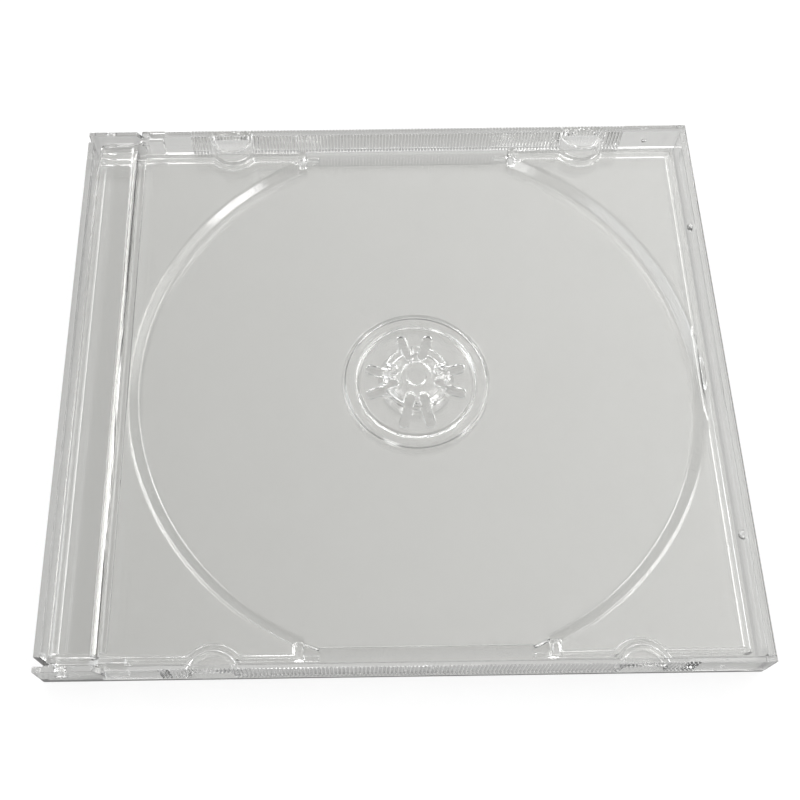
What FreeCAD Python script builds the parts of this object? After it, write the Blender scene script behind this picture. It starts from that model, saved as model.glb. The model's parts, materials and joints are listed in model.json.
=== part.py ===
import FreeCAD, Part
import math
import os
import re

import Sketcher

# Clear storage case for one disc: a base with a spine, a lid on two hinge pins, and a disc tray.
# Millimetres, +Z up. Inside each body X runs from the outer face of the spine to the opening edge,
# Y is zero on the middle plane, and Z is zero on the table.

SIZES = {
    # Whole case
    "case_height": 10.2,
    "panel": 1.2,
    "side_wall": 1.1,
    "end_wall": 1.3,
    # Hinge
    "pivot_inset": 4.6,
    "ear_radius": 8.4,
    "swing_gap": 0.5,
    "pin_radius": 1.25,
    "pin_play": 0.06,
    "pin_recess": 0.25,
    "arm_gap": 0.3,
    "arm_wall": 1.1,
    "arm_half": 2.6,
    "arm_root": 3.6,
    "bridge_reach": 1.4,
    "bridge_width": 3.6,
    # Lid
    "lid_start": 13.9,
    "lid_foot": 1.9,
    "lid_rest": 0.3,
    "tab_spread": 42.0,
    "tab_radius": 5.3,
    "tab_reach": 4.8,
    "tab_top": 7.4,
    "tab_sheet": 0.9,
    "rib_run": 103.0,
    "rib_pitch": 0.78,
    "rib_width": 0.6,
    "rib_depth": 0.35,
    "detent_radius": 0.6,
    "detent_inset": 9.0,
    # Tray
    "tray_margin": 2.9,
    "tray_gap": 0.5,
    "tray_end_gap": 1.3,
    "tray_lift": 0.1,
    "tray_wall": 1.0,
    "deck_top": 4.7,
    "recess_floor": 2.6,
    "recess_radius": 60.6,
    "recess_slope": 2.0,
    "strip_edge": 11.3,
    "strip_top": 8.0,
    "strip_round": 1.8,
    "strip_corner": 2.0,
    "strip_land": 1.8,
    "opening_land": 1.1,
    "side_land": 1.9,
    "bay_gap": 0.4,
    "finger_half": 24.3,
    "post_width": 1.9,
    "post_rise": 0.5,
    "cutout_half": 21.2,
    "cutout_margin": 5.3,
    # Hub
    "seat_outer": 16.3,
    "seat_inner": 12.4,
    "seat_top": 3.4,
    "seat_bevel": 1.1,
    "hub_radius": 7.4,
    "hub_top": 5.9,
    "hub_foot": 8.3,
    "neck_depth": 0.3,
    "neck_height": 0.6,
    "lip_height": 1.35,
    "cap_bevel": 1.2,
    "cap_drop": 0.25,
    "button_drop": 0.5,
    "button_skin": 1.5,
    "button_radius": 2.15,
    "button_ring": 3.3,
    "slot_inner": 4.1,
    "slot_outer": 11.3,
    "slot_width": 2.1,
    "slot_angle": 16.5,
    # Tray catches on the opening wall
    "catch_radius": 1.05,
    "catch_spread": 36.5,
    "catch_height": 5.9,
}

# The disc's recess and the lands round it make up the length and the depth of the case
WORKED_OUT = {
    "rim_radius": "recess_radius + recess_slope",
    "disc_centre": "strip_edge + strip_land + rim_radius",
    "case_length": "disc_centre + rim_radius + opening_land + tray_end_gap + end_wall",
    "case_depth": "2 * (recess_radius + side_land)",
}


def tied(text):
    """Turn the plain names in a formula into references to the sheet of sizes."""
    def refer(found):
        word = found.group(0)
        if word in WORKED_OUT:
            return "(" + tied(WORKED_OUT[word]) + ")"
        return "Sizes." + word if word in SIZES else word
    return re.sub(r"[a-z_]+", refer, text)


def make_sheet(document):
    sheet = document.addObject("Spreadsheet::Sheet", "Sizes")
    for row, (name, size) in enumerate(SIZES.items(), start=1):
        sheet.set("A%d" % row, name)
        sheet.set("B%d" % row, str(size))
        sheet.setAlias("B%d" % row, name)
    document.recompute()
    return sheet


def bind(item, prop, formula):
    item.setExpression(prop, tied(formula))


def worth(item, formula):
    return float(item.evalExpression(tied(formula)))


def new_body(document, label):
    body = document.addObject("PartDesign::Body", label)
    body.Label = label
    bind(body, "Placement.Base.x", "-case_length / 2")
    return body


def new_sketch(body, name, plane, x="0", y="0", level="0"):
    """A sketch on an origin plane of the body, moved by formulas in the plane and along its normal."""
    sketch = body.newObject("Sketcher::SketchObject", name)
    support = [item for item in body.Origin.OriginFeatures if item.Role == plane][0]
    sketch.AttachmentSupport = [(support, "")]
    sketch.MapMode = "FlatFace"
    bind(sketch, "AttachmentOffset.Base.x", x)
    bind(sketch, "AttachmentOffset.Base.y", y)
    bind(sketch, "AttachmentOffset.Base.z", level)
    return sketch


def fix_point(sketch, geometry, corner, x, y):
    for kind, formula in (("DistanceX", x), ("DistanceY", y)):
        size = worth(sketch, formula)
        index = sketch.addConstraint(Sketcher.Constraint(kind, -1, 1, geometry, corner, size))
        bind(sketch, "Constraints[%d]" % index, formula)


def outline(sketch, corners):
    """Draw a closed outline. A corner is (x, y), or (x, y, radius, turn) where an arc leads on from it;
    turn is 1 for an arc that runs anticlockwise and -1 for clockwise. A half circle also gives the x
    of its centre, which then fixes it in place of the radius."""
    spots = [FreeCAD.Vector(worth(sketch, c[0]), worth(sketch, c[1]), 0) for c in corners]
    first = sketch.GeometryCount
    count = len(corners)
    for index, corner in enumerate(corners):
        start = spots[index]
        end = spots[(index + 1) % count]
        if len(corner) == 2:
            sketch.addGeometry(Part.LineSegment(start, end))
            continue
        radius = worth(sketch, corner[2])
        chord = end - start
        half = chord.Length / 2
        rise = math.sqrt(max(radius * radius - half * half, 0.0))
        left = FreeCAD.Vector(-chord.y, chord.x, 0).normalize()
        centre = (start + end) * 0.5 + left * rise * corner[3]
        ends = (start, end) if corner[3] > 0 else (end, start)
        angles = [math.atan2(p.y - centre.y, p.x - centre.x) for p in ends]
        circle = Part.Circle(centre, FreeCAD.Vector(0, 0, 1), radius)
        sketch.addGeometry(Part.ArcOfCircle(circle, angles[0], angles[1]))
    for index, corner in enumerate(corners):
        following = (index + 1) % count
        clockwise = len(corner) > 2 and corner[3] < 0
        clockwise_next = len(corners[following]) > 2 and corners[following][3] < 0
        leave = 1 if clockwise else 2
        arrive = 2 if clockwise_next else 1
        join = Sketcher.Constraint("Coincident", first + index, leave, first + following, arrive)
        sketch.addConstraint(join)
    for index, corner in enumerate(corners):
        clockwise = len(corner) > 2 and corner[3] < 0
        fix_point(sketch, first + index, 2 if clockwise else 1, corner[0], corner[1])
    for index, corner in enumerate(corners):
        if len(corner) == 4:
            radius = worth(sketch, corner[2])
            rule = sketch.addConstraint(Sketcher.Constraint("Radius", first + index, radius))
            bind(sketch, "Constraints[%d]" % rule, corner[2])
        if len(corner) == 5:
            middle = worth(sketch, corner[4])
            rule = sketch.addConstraint(Sketcher.Constraint("DistanceX", -1, 1, first + index, 3, middle))
            bind(sketch, "Constraints[%d]" % rule, corner[4])


def rectangle(sketch, left, right, low, high):
    outline(sketch, [(left, low), (right, low), (right, high), (left, high)])


def circle(sketch, x, y, radius):
    centre = FreeCAD.Vector(worth(sketch, x), worth(sketch, y), 0)
    ring = Part.Circle(centre, FreeCAD.Vector(0, 0, 1), worth(sketch, radius))
    index = sketch.addGeometry(ring)
    fix_point(sketch, index, 3, x, y)
    rule = sketch.addConstraint(Sketcher.Constraint("Radius", index, worth(sketch, radius)))
    bind(sketch, "Constraints[%d]" % rule, radius)


def pad(body, name, sketch, length, backwards=False):
    feature = body.newObject("PartDesign::Pad", name)
    feature.Profile = sketch
    bind(feature, "Length", length)
    feature.Reversed = backwards
    return feature


def pocket(body, name, sketch, length=None, upwards=True):
    """Cut a sketch out of the body, by default upwards from its plane; with no length, through all."""
    feature = body.newObject("PartDesign::Pocket", name)
    feature.Profile = sketch
    feature.Reversed = upwards
    if length is None:
        feature.Type = "ThroughAll"
    else:
        bind(feature, "Length", length)
    return feature


def mirror(body, name, feature):
    """Copy a feature from the far long side to the near one."""
    plane = [item for item in body.Origin.OriginFeatures if item.Role == "XZ_Plane"][0]
    copy = body.newObject("PartDesign::Mirrored", name)
    copy.Originals = [feature]
    copy.MirrorPlane = (plane, [""])
    body.Tip = copy
    return copy


def ball(body, name, radius, x, y, level):
    dot = body.newObject("PartDesign::AdditiveSphere", name)
    support = [item for item in body.Origin.OriginFeatures if item.Role == "XY_Plane"][0]
    dot.AttachmentSupport = [(support, "")]
    dot.MapMode = "FlatFace"
    bind(dot, "Radius", radius)
    bind(dot, "AttachmentOffset.Base.x", x)
    bind(dot, "AttachmentOffset.Base.y", y)
    bind(dot, "AttachmentOffset.Base.z", level)
    return dot


# Levels and lines that several pieces share
HALF_DEPTH = "case_depth / 2"
PIVOT_LEVEL = "case_height / 2"
PANEL_UNDER = "(case_height - panel)"
TRAY_FOOT = "(panel + tray_lift)"
TRAY_SIDE = "(case_depth / 2 - tray_margin)"
TRAY_LEFT = "(end_wall + tray_gap)"
TRAY_RIGHT = "(case_length - end_wall - tray_end_gap)"
ARM_FACE = "(case_depth / 2 - side_wall - arm_gap)"
TAB_LINE = "(case_depth / 2 + tab_radius - tab_reach)"


def build_base(document):
    body = new_body(document, "case_base")

    sketch = new_sketch(body, "base_floor_sketch", "XY_Plane")
    rectangle(sketch, "0", "case_length", "-" + HALF_DEPTH, HALF_DEPTH)
    pad(body, "base_floor", sketch, "panel")

    sketch = new_sketch(body, "spine_sketch", "XY_Plane")
    rectangle(sketch, "0", "end_wall", "-" + HALF_DEPTH, HALF_DEPTH)
    pad(body, "spine", sketch, "case_height")

    # The opening wall stands between the lid's long walls and stops under the lid's panel
    sketch = new_sketch(body, "opening_wall_sketch", "XY_Plane")
    reach = "(case_depth / 2 - side_wall - arm_gap)"
    rectangle(sketch, "case_length - end_wall", "case_length", "-" + reach, reach)
    pad(body, "opening_wall", sketch, "case_height - panel - lid_rest")

    # Each hinge ear ends in an arc about the pivot, so that the lid's wall can swing past it
    sketch = new_sketch(body, "ear_sketch", "XZ_Plane", level="-" + HALF_DEPTH)
    shoulder = "pivot_inset + sqrt(ear_radius ^ 2 - (case_height / 2) ^ 2)"
    outline(sketch, [
        ("0", "0"),
        (shoulder, "0", "ear_radius", 1),
        (shoulder, "case_height"),
        ("0", "case_height"),
    ])
    circle(sketch, "pivot_inset", PIVOT_LEVEL, "pin_radius + pin_play")
    ear = pad(body, "far_ear", sketch, "side_wall")
    mirror(body, "near_ear", ear)

    # Slots at both ends of the spine let the lid's arms through when the lid lies open
    arm_low = "(case_height / 2 - arm_half - arm_gap)"
    sketch = new_sketch(body, "arm_slot_sketch", "XY_Plane", level=arm_low)
    inner = "(case_depth / 2 - side_wall - 2 * arm_gap - arm_wall)"
    outer = "(case_depth / 2 - side_wall)"
    rectangle(sketch, "0", "end_wall", inner, outer)
    rectangle(sketch, "0", "end_wall", "-" + outer, "-" + inner)
    pocket(body, "arm_slots", sketch)

    catch = ball(body, "far_catch", "catch_radius", "case_length - end_wall", "catch_spread", "catch_height")
    mirror(body, "near_catch", catch)
    return body


def build_lid(document):
    body = new_body(document, "hinged_lid")

    sketch = new_sketch(body, "lid_panel_sketch", "XY_Plane", level=PANEL_UNDER)
    rectangle(sketch, "lid_start", "case_length", "-" + HALF_DEPTH, HALF_DEPTH)
    pad(body, "lid_panel", sketch, "panel")

    # The wall's hinge end is hollowed round the ear, then leans out to the edge of the panel
    sketch = new_sketch(body, "lid_wall_sketch", "XZ_Plane", level="-" + HALF_DEPTH)
    swing = "(ear_radius + swing_gap)"
    toe = "pivot_inset + sqrt(" + swing + " ^ 2 - (case_height / 2 - lid_foot) ^ 2)"
    outline(sketch, [
        (toe, "lid_foot"),
        ("case_length", "lid_foot"),
        ("case_length", "case_height"),
        ("lid_start", "case_height"),
        ("pivot_inset + " + swing, PIVOT_LEVEL, swing, -1),
    ])
    wall = pad(body, "far_lid_wall", sketch, "side_wall")
    mirror(body, "near_lid_wall", wall)

    # A hinge arm lies inside each wall and carries a pin that points outwards into the ear
    sketch = new_sketch(body, "arm_sketch", "XZ_Plane", level="-" + ARM_FACE)
    root = "lid_start + arm_root"
    outline(sketch, [
        ("pivot_inset", "case_height / 2 - arm_half"),
        (root, "case_height / 2 - arm_half"),
        (root, PANEL_UNDER),
        ("lid_start - bridge_reach", PANEL_UNDER),
        ("pivot_inset + arm_half * 2", "case_height / 2 + arm_half"),
        ("pivot_inset", "case_height / 2 + arm_half", "arm_half", 1, "pivot_inset"),
    ])
    arm = pad(body, "far_arm", sketch, "arm_wall")
    mirror(body, "near_arm", arm)

    sketch = new_sketch(body, "arm_root_sketch", "XZ_Plane", level="-" + ARM_FACE)
    rectangle(sketch, "lid_start", root, "case_height / 2 - arm_half", PANEL_UNDER)
    join = pad(body, "far_arm_root", sketch, "arm_gap", backwards=True)
    mirror(body, "near_arm_root", join)

    # The panel reaches out over the root of each arm
    sketch = new_sketch(body, "bridge_sketch", "XY_Plane", level=PANEL_UNDER)
    rectangle(sketch, "lid_start - bridge_reach", "lid_start", HALF_DEPTH + " - bridge_width", HALF_DEPTH)
    bridge = pad(body, "far_bridge", sketch, "panel")
    mirror(body, "near_bridge", bridge)

    sketch = new_sketch(body, "pin_sketch", "XZ_Plane", level="-" + ARM_FACE)
    circle(sketch, "pivot_inset", PIVOT_LEVEL, "pin_radius")
    pin = pad(body, "far_pin", sketch, "arm_gap + side_wall - pin_recess", backwards=True)
    mirror(body, "near_pin", pin)

    # Booklet tabs: the wall turns inwards round a half-moon that a thin ledge closes at the top
    tab_places = ["disc_centre - tab_spread", "disc_centre + tab_spread"]
    rise = "(tab_radius - tab_reach)"
    half_moon = "sqrt(tab_radius ^ 2 - " + rise + " ^ 2)"
    bore = "(tab_radius - tab_sheet)"
    half_bore = "sqrt(" + bore + " ^ 2 - " + rise + " ^ 2)"
    moons = new_sketch(body, "tab_sketch", "XY_Plane", level="lid_foot")
    bores = new_sketch(body, "tab_bore_sketch", "XY_Plane", level="lid_foot")
    for x in tab_places:
        outline(moons, [(x + " - " + half_moon, HALF_DEPTH, "tab_radius", 1),
                        (x + " + " + half_moon, HALF_DEPTH)])
        outline(bores, [(x + " - " + half_bore, HALF_DEPTH, bore, 1),
                        (x + " + " + half_bore, HALF_DEPTH)])
    moon = pad(body, "far_tabs", moons, "tab_top - lid_foot")
    mirror(body, "near_tabs", moon)
    hollow = pocket(body, "far_tab_bores", bores, "tab_top - tab_sheet - lid_foot")
    mirror(body, "near_tab_bores", hollow)

    # Fine upright grooves leave grip ribs along the outer face of both long walls
    sketch = new_sketch(body, "rib_sketch", "XY_Plane")
    start = "disc_centre - rib_run / 2"
    for sign in ("", "-"):
        outline(sketch, [
            (start + " - rib_width / 2", sign + HALF_DEPTH),
            (start + " + rib_width / 2", sign + HALF_DEPTH),
            (start, sign + "(case_depth / 2 - rib_depth)"),
        ])
    groove = pocket(body, "rib_groove", sketch)
    ribs = body.newObject("PartDesign::LinearPattern", "grip_ribs")
    ribs.Originals = [groove]
    ribs.Direction = (sketch, ["H_Axis"])
    bind(ribs, "Length", "floor(rib_run / rib_pitch) * rib_pitch")
    bind(ribs, "Occurrences", "floor(rib_run / rib_pitch) + 1")
    body.Tip = ribs

    detent = ball(body, "far_detent", "detent_radius", "case_length - detent_inset",
                  HALF_DEPTH + " - side_wall", PIVOT_LEVEL)
    mirror(body, "near_detent", detent)
    return body


def build_tray(document):
    body = new_body(document, "disc_tray")
    deck_under = "(deck_top - tray_wall)"
    slant = "(recess_slope / (deck_top - recess_floor))"
    wall_run = "(tray_wall * sqrt(1 + " + slant + " ^ 2))"
    bay_radius = "(tab_radius + bay_gap)"
    bay_shell = "(tab_radius + bay_gap + tray_wall)"
    tab_places = ["disc_centre - tab_spread", "disc_centre + tab_spread"]

    # Deck plate, with a skirt round its edge
    sketch = new_sketch(body, "deck_sketch", "XY_Plane", level=deck_under)
    rectangle(sketch, TRAY_LEFT, TRAY_RIGHT, "-" + TRAY_SIDE, TRAY_SIDE)
    pad(body, "deck", sketch, "tray_wall")

    sketch = new_sketch(body, "skirt_sketch", "XY_Plane", level=TRAY_FOOT)
    rectangle(sketch, TRAY_LEFT, TRAY_RIGHT, "-" + TRAY_SIDE, TRAY_SIDE)
    rectangle(sketch, TRAY_LEFT + " + tray_wall", TRAY_RIGHT + " - tray_wall",
              "-" + TRAY_SIDE + " + tray_wall", TRAY_SIDE + " - tray_wall")
    pad(body, "skirt", sketch, deck_under + " - " + TRAY_FOOT)

    # Raised strip beside the spine, round along its top edges and hollow from below
    sketch = new_sketch(body, "strip_sketch", "XZ_Plane", level="-" + TRAY_SIDE)
    outline(sketch, [
        (TRAY_LEFT, TRAY_FOOT),
        ("strip_edge", TRAY_FOOT),
        ("strip_edge", "strip_top - strip_round", "strip_round", 1),
        ("strip_edge - strip_round", "strip_top"),
        (TRAY_LEFT + " + strip_round", "strip_top", "strip_round", 1),
        (TRAY_LEFT, "strip_top - strip_round"),
    ])
    pad(body, "strip", sketch, "2 * " + TRAY_SIDE)

    sketch = new_sketch(body, "strip_hollow_sketch", "XY_Plane", level=TRAY_FOOT)
    rectangle(sketch, TRAY_LEFT + " + tray_wall", "strip_edge - tray_wall",
              "-" + TRAY_SIDE + " + tray_wall", TRAY_SIDE + " - tray_wall")
    pocket(body, "strip_hollow", sketch, "strip_top - tray_wall - " + TRAY_FOOT)

    # Walls round the four tab bays, and posts at the ends of the two finger openings
    sketch = new_sketch(body, "bay_wall_sketch", "XY_Plane", level=TRAY_FOOT)
    depth = "(" + TAB_LINE + " - " + TRAY_SIDE + ")"
    half = "sqrt(" + bay_shell + " ^ 2 - " + depth + " ^ 2)"
    for x in tab_places:
        outline(sketch, [(x + " - " + half, TRAY_SIDE, bay_shell, 1), (x + " + " + half, TRAY_SIDE)])
        outline(sketch, [(x + " + " + half, "-" + TRAY_SIDE, bay_shell, 1),
                         (x + " - " + half, "-" + TRAY_SIDE)])
    pad(body, "bay_walls", sketch, deck_under + " - " + TRAY_FOOT)

    sketch = new_sketch(body, "finger_post_sketch", "XY_Plane", level=TRAY_FOOT)
    inside = "(sqrt(rim_radius ^ 2 - finger_half ^ 2) - tray_wall)"
    for low, high in ((inside, TRAY_SIDE), ("-" + TRAY_SIDE, "-" + inside)):
        rectangle(sketch, "disc_centre - finger_half - post_width", "disc_centre - finger_half", low, high)
        rectangle(sketch, "disc_centre + finger_half", "disc_centre + finger_half + post_width", low, high)
    pad(body, "finger_posts", sketch, "deck_top + post_rise - " + TRAY_FOOT)

    # Clear the round recess, then turn its floor, its slanted wall and the hub in one piece
    sketch = new_sketch(body, "recess_sketch", "XZ_Plane", x="disc_centre")
    outline(sketch, [
        ("0", "panel"),
        ("recess_radius", "panel"),
        ("recess_radius", "recess_floor"),
        ("rim_radius", "deck_top"),
        ("rim_radius", "deck_top + post_rise"),
        ("0", "deck_top + post_rise"),
    ])
    recess = body.newObject("PartDesign::Groove", "recess")
    recess.Profile = sketch
    recess.ReferenceAxis = (sketch, ["V_Axis"])
    recess.Angle = 360

    sketch = new_sketch(body, "hub_sketch", "XZ_Plane", x="disc_centre")
    floor_under = "(recess_floor - tray_wall)"
    button_under = "hub_top - button_drop - button_skin"
    neck = "hub_radius - neck_depth"
    outline(sketch, [
        ("0", button_under),
        ("button_ring + button_drop", button_under),
        ("hub_radius - cap_bevel - neck_depth", "hub_top - button_skin"),
        ("hub_radius - tray_wall", floor_under),
        ("seat_inner + tray_wall", floor_under),
        ("seat_inner + tray_wall", "seat_top - tray_wall"),
        ("seat_outer - tray_wall", "seat_top - tray_wall"),
        ("seat_outer - tray_wall", floor_under),
        ("recess_radius + " + wall_run + " - tray_wall * " + slant, floor_under),
        ("rim_radius + " + wall_run + " - tray_wall * " + slant, deck_under),
        ("rim_radius", "deck_top"),
        ("recess_radius", "recess_floor"),
        ("seat_outer", "recess_floor"),
        ("seat_outer - seat_bevel", "seat_top"),
        ("seat_inner + seat_bevel", "seat_top"),
        ("seat_inner", "recess_floor"),
        ("hub_foot", "recess_floor"),
        (neck, "seat_top"),
        (neck, "seat_top + neck_height"),
        ("hub_radius", "seat_top + lip_height"),
        (neck, "hub_top - cap_drop"),
        ("hub_radius - cap_bevel", "hub_top"),
        ("button_ring", "hub_top - cap_drop"),
        ("button_ring", "hub_top - tray_wall"),
        ("button_radius", "hub_top - tray_wall"),
        ("button_radius", "hub_top - button_drop"),
        ("0", "hub_top - button_drop"),
    ])
    hub = body.newObject("PartDesign::Revolution", "hub_and_floor")
    hub.Profile = sketch
    hub.ReferenceAxis = (sketch, ["V_Axis"])
    hub.Angle = 360

    # Trim the round parts to the tray's edge
    sketch = new_sketch(body, "trim_sketch", "XY_Plane", level="panel")
    rectangle(sketch, "-case_length", "2 * case_length", "-case_depth", "case_depth")
    rectangle(sketch, TRAY_LEFT, TRAY_RIGHT, "-" + TRAY_SIDE, TRAY_SIDE)
    pocket(body, "trim", sketch)

    # Round the two corners of the strip beside the spine
    sketch = new_sketch(body, "strip_corner_sketch", "XY_Plane", level="panel")
    outline(sketch, [
        (TRAY_LEFT, TRAY_SIDE + " - strip_corner", "strip_corner", -1),
        (TRAY_LEFT + " + strip_corner", TRAY_SIDE),
        (TRAY_LEFT + " - tray_gap", TRAY_SIDE + " + tray_gap"),
    ])
    outline(sketch, [
        (TRAY_LEFT, "strip_corner - " + TRAY_SIDE, "strip_corner", 1),
        (TRAY_LEFT + " + strip_corner", "-" + TRAY_SIDE),
        (TRAY_LEFT + " - tray_gap", "-" + TRAY_SIDE + " - tray_gap"),
    ])
    pocket(body, "strip_corners", sketch)

    # Finger openings: the rim goes, and a narrower cut takes the floor's edge as well
    sketch = new_sketch(body, "finger_sketch", "XY_Plane", level="recess_floor")
    beyond = "(recess_radius * 0.7)"
    for low, high in ((beyond, HALF_DEPTH), ("-" + HALF_DEPTH, "-" + beyond)):
        rectangle(sketch, "disc_centre - finger_half", "disc_centre + finger_half", low, high)
    pocket(body, "finger_openings", sketch)

    sketch = new_sketch(body, "cutout_sketch", "XY_Plane", level="panel")
    line = "(case_depth / 2 - cutout_margin)"
    for low, high in ((line, HALF_DEPTH), ("-" + HALF_DEPTH, "-" + line)):
        rectangle(sketch, "disc_centre - cutout_half", "disc_centre + cutout_half", low, high)
    pocket(body, "floor_cutouts", sketch)

    sketch = new_sketch(body, "bay_sketch", "XY_Plane", level="panel")
    for x in tab_places:
        circle(sketch, x, TAB_LINE, bay_radius)
        circle(sketch, x, "-" + TAB_LINE, bay_radius)
    pocket(body, "tab_bays", sketch)

    # Pairs of round-ended slots leave four narrow fingers and four broad teeth in the hub
    sketch = new_sketch(body, "slot_sketch", "XY_Plane", x="disc_centre", level="panel")
    near = "(slot_inner + slot_width / 2)"
    far = "(slot_outer - slot_width / 2)"
    for sign in ("", "-"):
        along = "cos(slot_angle * 1 deg)"
        across = "sin(" + sign + "slot_angle * 1 deg)"
        side_x = "(slot_width / 2 * " + across + ")"
        side_y = "(slot_width / 2 * " + along + ")"
        outline(sketch, [
            (near + " * " + along + " + " + side_x, near + " * " + across + " - " + side_y),
            (far + " * " + along + " + " + side_x, far + " * " + across + " - " + side_y,
             "slot_width / 2", 1, far + " * " + along),
            (far + " * " + along + " - " + side_x, far + " * " + across + " + " + side_y),
            (near + " * " + along + " - " + side_x, near + " * " + across + " + " + side_y,
             "slot_width / 2", 1, near + " * " + along),
        ])
    slots = pocket(body, "hub_slots", sketch)
    teeth = body.newObject("PartDesign::PolarPattern", "hub_teeth")
    teeth.Originals = [slots]
    teeth.Axis = (sketch, ["N_Axis"])
    teeth.Angle = 360
    teeth.Occurrences = 4
    body.Tip = teeth
    return body


def main():
    os.makedirs("parts", exist_ok=True)
    document = FreeCAD.newDocument("cd_case")
    make_sheet(document)
    pieces = [build_base(document), build_lid(document), build_tray(document)]
    document.recompute()
    for item in document.Objects:
        faults = [word for word in item.State if word in ("Invalid", "Error")]
        if faults:
            raise RuntimeError("%s: %s" % (item.Name, faults))
    for piece in pieces:
        shape = piece.Shape
        if shape.isNull() or not shape.isValid():
            raise RuntimeError(piece.Label + " has no valid shape")
        print(piece.Label, len(shape.Solids), "solid", round(shape.Volume), "mm3", shape.BoundBox)
        shape.exportStep("parts/" + piece.Label + ".step")


main()
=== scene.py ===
# %% [markdown]
# The object is a clear case for one disc: a base with a spine, a lid that turns on two pins, and a tray with
# a toothed hub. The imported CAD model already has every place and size, so the scene starts by loading it and
# noting its box, and everything that follows only dresses it.

# %% Load the frame
import json
import math

import bpy
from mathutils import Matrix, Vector


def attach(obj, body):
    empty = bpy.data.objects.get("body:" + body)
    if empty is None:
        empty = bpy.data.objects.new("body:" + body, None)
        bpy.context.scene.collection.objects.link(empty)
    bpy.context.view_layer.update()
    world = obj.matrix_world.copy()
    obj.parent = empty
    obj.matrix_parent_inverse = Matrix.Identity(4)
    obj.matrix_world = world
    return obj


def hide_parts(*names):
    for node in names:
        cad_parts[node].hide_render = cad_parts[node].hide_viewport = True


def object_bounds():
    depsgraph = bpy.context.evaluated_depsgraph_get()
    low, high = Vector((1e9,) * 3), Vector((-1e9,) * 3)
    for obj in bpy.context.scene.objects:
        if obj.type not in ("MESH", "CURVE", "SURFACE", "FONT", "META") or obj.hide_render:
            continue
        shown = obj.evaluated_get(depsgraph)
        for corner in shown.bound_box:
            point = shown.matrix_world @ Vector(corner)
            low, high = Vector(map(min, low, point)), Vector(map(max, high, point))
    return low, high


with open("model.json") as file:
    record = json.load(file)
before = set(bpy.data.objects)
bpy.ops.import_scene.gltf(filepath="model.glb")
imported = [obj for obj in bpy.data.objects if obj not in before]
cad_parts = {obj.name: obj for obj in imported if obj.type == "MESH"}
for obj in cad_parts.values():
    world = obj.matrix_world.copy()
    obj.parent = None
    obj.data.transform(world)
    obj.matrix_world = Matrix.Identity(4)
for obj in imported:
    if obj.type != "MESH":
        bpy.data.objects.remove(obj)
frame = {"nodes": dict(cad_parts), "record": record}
cad_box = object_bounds()
MM = 0.001
scene = bpy.context.scene
mounts = {mount["name"]: mount for mount in frame["record"]["mounts"]}
hub_spot = Vector(mounts["disc_hub"]["pos_m"])
print("CAD box in mm:", [[round(v / MM, 2) for v in corner] for corner in cad_box])

# %% [markdown]
# A ray that looks into the case meets the lid, the tray and the base, each with two faces, and comes back
# out through them all. Blender stops a ray after twelve meetings, which would leave the inside black, so
# the limits go up. The view stays on the Standard transform, so white in the scene is white in the picture.

# %% Colour and ray limits
scene.view_settings.view_transform = "Standard"
scene.cycles.max_bounces = 22
scene.cycles.transmission_bounces = 22
scene.cycles.glossy_bounces = 12
scene.cycles.diffuse_bounces = 3
scene.cycles.transparent_max_bounces = 40
scene.cycles.use_denoising = True
print("rays may meet", scene.cycles.max_bounces, "surfaces")

# %% [markdown]
# The photograph looks down on the lid from the near side. The camera's place, lens and shift come from
# fitting the outline of a case of this size to the picture, which is square.

# %% Place the camera
CAMERA_PLACE = (-9.762 * MM, -105.339 * MM, 241.197 * MM)
CAMERA_TURN = (0.4773, 0.0019, -0.0139)
CAMERA_SHIFT = (0.0567, -0.1132)
SENSOR_WIDTH = 36.0
LENS = 53.28
NEAREST_SEEN = 5 * MM

camera_data = bpy.data.cameras.new("camera")
camera = bpy.data.objects.new("camera", camera_data)
scene.collection.objects.link(camera)
camera.location = CAMERA_PLACE
camera.rotation_euler = CAMERA_TURN
camera_data.sensor_width = SENSOR_WIDTH
camera_data.lens = LENS
camera_data.shift_x, camera_data.shift_y = CAMERA_SHIFT
camera_data.clip_start = NEAREST_SEEN
scene.camera = camera
print("lens", round(camera_data.lens, 2), "mm")

# %% [markdown]
# Floor, world and plastics are all built from shader nodes. Two small helpers take up what repeats: one adds
# a math node, and the other a soft step, which goes from nought to one between two values.


# %% Node helpers
def math_node(tree, operation, *values):
    """A math node, with a socket or a number for each value."""
    node = tree.nodes.new("ShaderNodeMath")
    node.operation = operation
    for entry, value in zip(node.inputs, values):
        if isinstance(value, bpy.types.NodeSocket):
            tree.links.new(value, entry)
        else:
            entry.default_value = value
    return node.outputs[0]


def soft_step(tree, value, low, high):
    """Nought where the value is at the low end, one at the high end, and smooth between."""
    node = tree.nodes.new("ShaderNodeMapRange")
    node.interpolation_type = "SMOOTHSTEP"
    node.inputs["From Min"].default_value = low
    node.inputs["From Max"].default_value = high
    tree.links.new(value, node.inputs["Value"])
    return node.outputs[0]


print("helpers", math_node.__name__, soft_step.__name__)

# %% [markdown]
# The floor is a plain matt sheet. The camera sees most of it as pure white, which keeps only a trace of the
# shadow, as when the background of a product picture is cleared. Through the plastic, and mirrored in it,
# the sheet shows a painted shadow: a flat grey glow in place of the shade the case casts, and that is the grey
# that shows inside the case. The painted shadow is paler at the rim of the case, where more light would reach
# the sheet, so the walls look brighter than the middle.

# %% Greys of the sheet and its painted shadow
SEEN_WHITE = 0.85
WHITE = (1, 1, 1, 1)
MATT_WHITE = (0.88, 0.88, 0.87, 1)
# Painted shadow: the flat grey the plastic shows in place of the case's shade on the sheet.
PAINTED_SHADOW_GREY = (0.34, 0.34, 0.328, 1)
# Painted light: the paler grey where the painted shadow fades out at and beyond the case's rim.
PAINTED_RIM_GREY = (0.54, 0.54, 0.535, 1)
RIM_INSIDE = 6.0 * MM
RIM_OUTSIDE = 3.0 * MM


# Mask of the painted shadow's fade, from the middle of the case to just past its outline.
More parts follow.
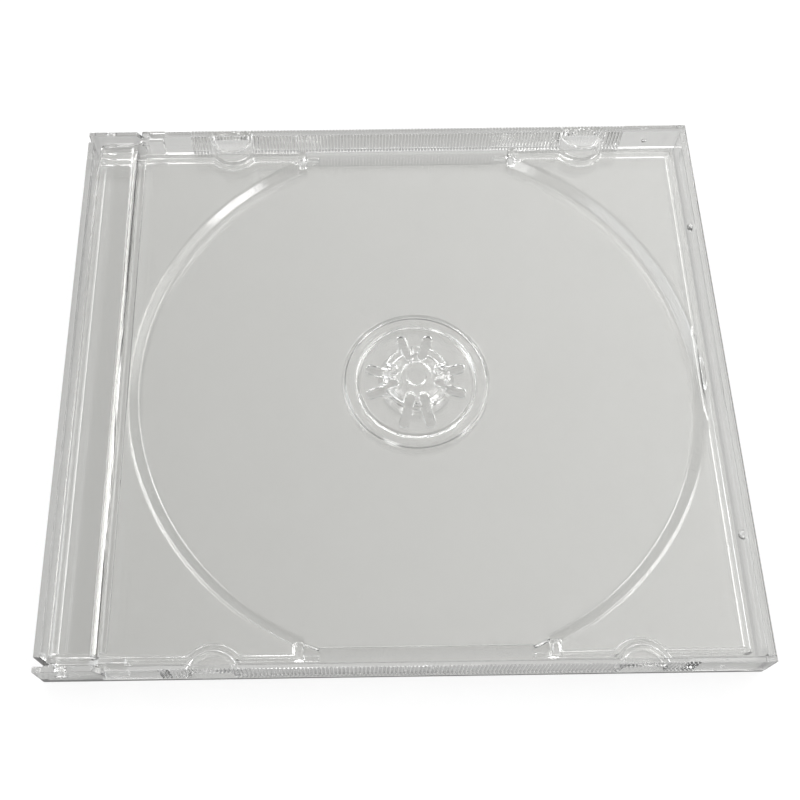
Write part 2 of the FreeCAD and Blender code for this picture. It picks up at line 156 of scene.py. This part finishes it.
def painted_shadow_fade(tree):
    """Where the painted shadow of the case fades out: nought under the middle of the case, and one just
    outside its outline.
    """
    where = tree.nodes.new("ShaderNodeTexCoord")
    size = tree.nodes.new("ShaderNodeVectorMath")
    size.operation = "ABSOLUTE"
    tree.links.new(where.outputs["Object"], size.inputs[0])
    past = tree.nodes.new("ShaderNodeVectorMath")
    past.operation = "SUBTRACT"
    tree.links.new(size.outputs[0], past.inputs[0])
    past.inputs[1].default_value = cad_box[1]
    split = tree.nodes.new("ShaderNodeSeparateXYZ")
    tree.links.new(past.outputs[0], split.inputs[0])
    furthest = math_node(tree, "MAXIMUM", split.outputs["X"], split.outputs["Y"])
    return soft_step(tree, furthest, -RIM_INSIDE, RIM_OUTSIDE)


def mixed_colour(tree, share, first, second):
    """The first colour where the share is nought and the second where it is one."""
    mix = tree.nodes.new("ShaderNodeMix")
    mix.data_type = "RGBA"
    tree.links.new(share, mix.inputs["Factor"])
    if isinstance(first, bpy.types.NodeSocket):
        tree.links.new(first, mix.inputs["A"])
    else:
        mix.inputs["A"].default_value = first
    mix.inputs["B"].default_value = second
    return mix.outputs["Result"]


print("sheet", PAINTED_SHADOW_GREY[0], "and at the rim", PAINTED_RIM_GREY[0])

# %% [markdown]
# In the sheet's material, one mix chooses between the matt paint and a plain glow. The glow takes most of
# what the camera sees, as white, and all that comes by way of the plastic, as the painted shadow. Only the
# paint keeps a real shadow.

# %% Lay the floor
FLOOR_WIDTH = 6.0
FLOOR_DROP = 0.02 * MM

bpy.ops.object.select_all(action="DESELECT")
bpy.ops.mesh.primitive_plane_add(size=FLOOR_WIDTH, location=(0, 0, -FLOOR_DROP))
floor = bpy.context.object
floor.name = "floor"
floor_material = bpy.data.materials.new("sheet_with_painted_shadow")
floor_material.use_nodes = True
sheet = floor_material.node_tree
sheet.nodes.clear()
path = sheet.nodes.new("ShaderNodeLightPath")
by_plastic = math_node(sheet, "MAXIMUM", path.outputs["Is Glossy Ray"], path.outputs["Is Transmission Ray"])
glow_share = math_node(sheet, "MULTIPLY_ADD", path.outputs["Is Camera Ray"], SEEN_WHITE, by_plastic)
# Painted shadow of the case, grey under it and paler towards its rim, for rays by way of the plastic.
painted_shadow_colour = mixed_colour(sheet, painted_shadow_fade(sheet), PAINTED_SHADOW_GREY, PAINTED_RIM_GREY)
matt = sheet.nodes.new("ShaderNodeBsdfDiffuse")
matt.inputs["Color"].default_value = MATT_WHITE
# The glow is white for the camera and the painted shadow grey for rays through or off the plastic.
glow = sheet.nodes.new("ShaderNodeEmission")
sheet.links.new(mixed_colour(sheet, path.outputs["Is Camera Ray"], painted_shadow_colour, WHITE), glow.inputs["Color"])
mix = sheet.nodes.new("ShaderNodeMixShader")
sheet.links.new(glow_share, mix.inputs["Fac"])
sheet.links.new(matt.outputs[0], mix.inputs[1])
sheet.links.new(glow.outputs[0], mix.inputs[2])
output = sheet.nodes.new("ShaderNodeOutputMaterial")
sheet.links.new(mix.outputs[0], output.inputs["Surface"])
floor.data.materials.append(floor_material)
print("floor", round(floor.dimensions[0], 1), "m wide")

# %% [markdown]
# Clear plastic shows almost nothing but what it mirrors and bends, so the light is a whole surrounding: a
# tent that is pale at the sides and dim at the top, with soft round windows in it. The flat lid mirrors only
# the window overhead, which grows brighter to the right and to the back. The small rounds on the edges turn
# far enough to mirror the windows and lamps at the sides, which draws them as white lines. The slopes of the
# tray mirror the two low windows.

# %% Windows of the tent
TENT_STEPS = ((0.02, 0.65), (0.16, 0.68), (0.66, 0.68), (0.76, 0.30))
DAYLIGHT = (1.0, 1.0, 1.0)
WARM = (1.0, 1.0, 0.98)
COOL = (0.93, 0.96, 1.0)
LILAC = (1.0, 0.98, 1.0)
OVERHEAD_COLOUR = (1.0, 1.0, 0.99)
OVERHEAD_GRADE = (1.15, 0.52, 0.0)
# Turn from +X, rise above the floor and reach in degrees, then the light and its colour
WINDOWS = {
    "overhead": (85, 68, 27, 0.96, OVERHEAD_COLOUR),
    "right": (22, 38, 15, 3.6, WARM),
    "low_right": (0, 18, 24, 2.2, WARM),
    "left": (166, 38, 12, 2.6, COOL),
    "low_left": (186, 20, 26, 1.7, COOL),
    "back": (88, 26, 13, 1.2, DAYLIGHT),
    "lamp": (-30, 26, 6, 8.0, LILAC),
    "lamp_back": (114, 38, 9, 9.0, DAYLIGHT),
    "lamp_side": (55, 38, 9, 9.0, DAYLIGHT),
    "lamp_near": (-120, 40, 6, 7.0, DAYLIGHT),
}
GRADES = {"overhead": OVERHEAD_GRADE}
WINDOW_EDGE = 5
print(len(WINDOWS), "windows")

# %% [markdown]
# Each window is a soft step on the angle between the view and the window's middle. A colour ramp over height
# makes the tent, the windows are added to it, and the camera itself sees plain white behind the floor.

# %% Build the tent
world = bpy.data.worlds.new("tent")
scene.world = world
world.use_nodes = True
sky = world.node_tree
sky.nodes.clear()
where = sky.nodes.new("ShaderNodeTexCoord")


def share_along(direction):
    """How far the view from the object points along a direction."""
    along = sky.nodes.new("ShaderNodeVectorMath")
    along.operation = "DOT_PRODUCT"
    sky.links.new(where.outputs["Generated"], along.inputs[0])
    along.inputs[1].default_value = direction
    return along.outputs["Value"]


def soft_window(turn, rise, reach, light, colour, grade):
    """A round patch of light that fades over its edge, and may grow brighter along a direction."""
    level = math.cos(math.radians(rise))
    middle = (level * math.cos(math.radians(turn)), level * math.sin(math.radians(turn)),
              math.sin(math.radians(rise)))
    far_edge = math.cos(math.radians(reach + WINDOW_EDGE))
    near_edge = math.cos(math.radians(reach - WINDOW_EDGE))
    patch = soft_step(sky, share_along(middle), far_edge, near_edge)
    graded = math_node(sky, "ADD", share_along(grade), light)
    window = sky.nodes.new("ShaderNodeBackground")
    window.inputs["Color"].default_value = (*colour, 1)
    sky.links.new(math_node(sky, "MULTIPLY", graded, patch), window.inputs["Strength"])
    return window


heights = sky.nodes.new("ShaderNodeValToRGB")
sky.links.new(share_along((0, 0, 1)), heights.inputs["Fac"])
stops = heights.color_ramp.elements
while len(stops) < len(TENT_STEPS):
    stops.new(1.0)
for stop, (height, light) in zip(stops, TENT_STEPS):
    stop.position = height
    stop.color = (light, light, light, 1)
tent = sky.nodes.new("ShaderNodeBackground")
sky.links.new(heights.outputs["Color"], tent.inputs["Color"])
for name, sizes in WINDOWS.items():
    both = sky.nodes.new("ShaderNodeAddShader")
    sky.links.new(tent.outputs[0], both.inputs[0])
    sky.links.new(soft_window(*sizes, GRADES.get(name, (0, 0, 0))).outputs[0], both.inputs[1])
    tent = both
backdrop = sky.nodes.new("ShaderNodeBackground")
backdrop.inputs["Color"].default_value = WHITE
path = sky.nodes.new("ShaderNodeLightPath")
seen = sky.nodes.new("ShaderNodeMixShader")
sky.links.new(path.outputs["Is Camera Ray"], seen.inputs["Fac"])
sky.links.new(tent.outputs[0], seen.inputs[1])
sky.links.new(backdrop.outputs[0], seen.inputs[2])
output = sky.nodes.new("ShaderNodeOutputWorld")
sky.links.new(seen.outputs[0], output.inputs["Surface"])
print("tent of", len(sky.nodes), "nodes")

# %% [markdown]
# The mouldings are clear polystyrene, which bends light more than window glass. Blender's main shader does
# this as glass with a trace of colour. A case that has been handled is never quite flat or clean, so one
# group of nodes, shared by the three plastics, gives it faint smears, hair scratches and a slow ripple.

# %% Sizes of the marks
SMEAR_SCALE = 45.0
SMEAR_RANGE = (0.45, 0.75)
SMEAR_ROUGHNESS = (0.012, 0.05)
HAIR_TURN = math.radians(32)
HAIR_STRETCH = (2600, 40, 40)
HAIR_RANGE = (0.70, 0.80)
HAIR_STRENGTH = 0.15
HAIR_DEPTH = 0.004 * MM
RIPPLE_SCALE = 90.0
RIPPLE_DEPTH = 0.02 * MM
print("hair scratches", HAIR_DEPTH / MM, "mm deep")


# %% Handling marks
def add_noise(tree, vector, scale, detail):
    noise = tree.nodes.new("ShaderNodeTexNoise")
    noise.inputs["Scale"].default_value = scale
    noise.inputs["Detail"].default_value = detail
    tree.links.new(vector, noise.inputs["Vector"])
    return noise.outputs["Fac"]


def add_range(tree, value, source, target):
    node = tree.nodes.new("ShaderNodeMapRange")
    node.inputs["From Min"].default_value, node.inputs["From Max"].default_value = source
    node.inputs["To Min"].default_value, node.inputs["To Max"].default_value = target
    tree.links.new(value, node.inputs["Value"])
    return node.outputs[0]


def make_handling_marks():
    group = bpy.data.node_groups.new("handling_marks", "ShaderNodeTree")
    group.interface.new_socket(name="Ripple", in_out="INPUT", socket_type="NodeSocketFloat")
    group.interface.new_socket(name="Roughness", in_out="OUTPUT", socket_type="NodeSocketFloat")
    group.interface.new_socket(name="Normal", in_out="OUTPUT", socket_type="NodeSocketVector")
    nodes, links = group.nodes, group.links
    start = nodes.new("NodeGroupInput")
    end = nodes.new("NodeGroupOutput")
    place = nodes.new("ShaderNodeTexCoord").outputs["Object"]

    smears = add_noise(group, place, SMEAR_SCALE, 4.0)
    links.new(add_range(group, smears, SMEAR_RANGE, SMEAR_ROUGHNESS), end.inputs["Roughness"])

    turned = nodes.new("ShaderNodeMapping")
    turned.inputs["Rotation"].default_value = (0, 0, HAIR_TURN)
    turned.inputs["Scale"].default_value = HAIR_STRETCH
    links.new(place, turned.inputs["Vector"])
    hairs = add_noise(group, turned.outputs[0], 1.0, 1.0)
    groove = nodes.new("ShaderNodeBump")
    groove.inputs["Strength"].default_value = HAIR_STRENGTH
    groove.inputs["Distance"].default_value = HAIR_DEPTH
    links.new(add_range(group, hairs, HAIR_RANGE, (0.0, 1.0)), groove.inputs["Height"])

    ripple = nodes.new("ShaderNodeBump")
    ripple.inputs["Distance"].default_value = RIPPLE_DEPTH
    links.new(start.outputs["Ripple"], ripple.inputs["Strength"])
    links.new(add_noise(group, place, RIPPLE_SCALE, 1.0), ripple.inputs["Height"])
    links.new(groove.outputs[0], ripple.inputs["Normal"])
    links.new(ripple.outputs[0], end.inputs["Normal"])
    return group


handling_marks = make_handling_marks()
print("shared group", handling_marks.name)

# %% [markdown]
# The three plastics are the same clear stock. The lid is the flattest moulding, so its ripple is the
# weakest.

# %% Plastics
CLEAR_TINT = (0.985, 0.985, 0.98, 1)
POLYSTYRENE_IOR = 1.55
RIPPLES = {"lid_plastic": 0.10, "base_plastic": 0.20, "tray_plastic": 0.20}


def clear_plastic(name, ripple):
    material = bpy.data.materials.new(name)
    material.use_nodes = True
    nodes = material.node_tree.nodes
    links = material.node_tree.links
    shader = nodes["Principled BSDF"]
    shader.inputs["Base Color"].default_value = CLEAR_TINT
    shader.inputs["Transmission Weight"].default_value = 1.0
    shader.inputs["IOR"].default_value = POLYSTYRENE_IOR
    marks = nodes.new("ShaderNodeGroup")
    marks.node_tree = handling_marks
    marks.inputs["Ripple"].default_value = ripple
    links.new(marks.outputs["Roughness"], shader.inputs["Roughness"])
    links.new(marks.outputs["Normal"], shader.inputs["Normal"])
    return material


plastics = {name: clear_plastic(name, ripple) for name, ripple in RIPPLES.items()}
print("plastics", list(plastics))

# %% [markdown]
# A moulded edge is never sharp, and its small round is what catches the light. The CAD nodes have sharp
# edges, so each moulding is a copy of its node, merged into one skin, with its edges bevelled. The hub has
# larger rounds than the rest, and the step round the disc's recess the largest. The lid's fine grip ribs
# keep their edges. A bevel weight on each edge sets its size, so that one modifier does them all.

# %% Sizes of the rounds
PLAIN_ROUND = 0.13 * MM
HUB_ROUND = 0.22 * MM
RING_ROUND = 0.50 * MM
HUB_REACH = 18.0 * MM
RING_INSIDE = 59.5 * MM
RING_OUTSIDE = 65.0 * MM
RIB_DEPTH = 0.4 * MM
SAME_HEIGHT = 0.05 * MM
SHARP = math.radians(35)


def round_size(node, ends):
    """The round of one sharp edge, from the piece it is on and the places of its two ends."""
    if node == "hinged_lid" and all(abs(end.y) > cad_box[1][1] - RIB_DEPTH for end in ends):
        return 0.0
    reaches = [(end - hub_spot).to_2d().length for end in ends]
    level = abs(ends[0].z - ends[1].z) < SAME_HEIGHT
    if node == "disc_tray" and level and all(RING_INSIDE < reach < RING_OUTSIDE for reach in reaches):
        return RING_ROUND
    if node == "disc_tray" and max(reaches) < HUB_REACH:
        return HUB_ROUND
    return PLAIN_ROUND


print("rounds in mm:", [round(size / MM, 2) for size in (PLAIN_ROUND, HUB_ROUND, RING_ROUND)])

# %% [markdown]
# After the bevel, every edge that still turns by more than the crease angle is marked as sharp before the
# skin is shaded smooth. Without the marks, Blender would blend the normals round the ribs and the hub, and
# the clear plastic would show it at once. Weighted normals then keep the large faces flat.

# %% Bevel the copies
CREASE = math.radians(28)
MERGE_GAP = 0.002 * MM
FLAT_ANGLE = math.radians(1.0)


def merged_skin(piece):
    """Join the facets of a copied node into one skin, and leave its sharp edges selected."""
    bpy.ops.object.select_all(action="DESELECT")
    piece.select_set(True)
    bpy.context.view_layer.objects.active = piece
    bpy.ops.object.mode_set(mode="EDIT")
    bpy.ops.mesh.select_all(action="SELECT")
    bpy.ops.mesh.remove_doubles(threshold=MERGE_GAP)
    bpy.ops.mesh.dissolve_limited(angle_limit=FLAT_ANGLE)
    bpy.ops.mesh.select_all(action="DESELECT")
    bpy.ops.mesh.select_mode(type="EDGE")
    bpy.ops.mesh.edges_select_sharp(sharpness=SHARP)
    bpy.ops.object.mode_set(mode="OBJECT")


def bevelled(piece, node):
    """Round the selected edges, each by its own size, and say how many there were."""
    mesh = piece.data
    weights = mesh.attributes.new("bevel_weight_edge", "FLOAT", "EDGE")
    count = 0
    for edge in mesh.edges:
        size = 0.0
        if edge.select:
            size = round_size(node, [mesh.vertices[index].co for index in edge.vertices])
        weights.data[edge.index].value = size / RING_ROUND
        count += size > 0
    bevel = piece.modifiers.new("edge_round", "BEVEL")
    bevel.limit_method = "WEIGHT"
    bevel.width = RING_ROUND
    bevel.segments = 3
    bevel.use_clamp_overlap = False
    bpy.ops.object.modifier_apply(modifier=bevel.name)
    return count


def smooth_shaded(piece):
    """Mark the creases, shade the rest smooth and keep the large faces flat."""
    bpy.ops.object.mode_set(mode="EDIT")
    bpy.ops.mesh.select_all(action="DESELECT")
    bpy.ops.mesh.edges_select_sharp(sharpness=CREASE)
    bpy.ops.mesh.mark_sharp()
    bpy.ops.object.mode_set(mode="OBJECT")
    bpy.ops.object.shade_smooth()
    flats = piece.modifiers.new("flat_faces", "WEIGHTED_NORMAL")
    flats.mode = "FACE_AREA"
    flats.weight = 100
    flats.keep_sharp = True
    bpy.ops.object.modifier_apply(modifier=flats.name)


def rounded_moulding(name, node, body, slot):
    mesh = frame["nodes"][node].data.copy()
    mesh.materials.clear()
    piece = bpy.data.objects.new(name, mesh)
    scene.collection.objects.link(piece)
    merged_skin(piece)
    count = bevelled(piece, node)
    smooth_shaded(piece)
    piece.data.materials.append(plastics[slot])
    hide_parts(node)
    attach(piece, body)
    print(name, "rounded", count, "edges,", len(piece.data.polygons), "faces")


rounded_moulding("clear_base", "case_base", "base", "base_plastic")
rounded_moulding("clear_tray", "disc_tray", "base", "tray_plastic")
rounded_moulding("clear_lid", "hinged_lid", "lid", "lid_plastic")
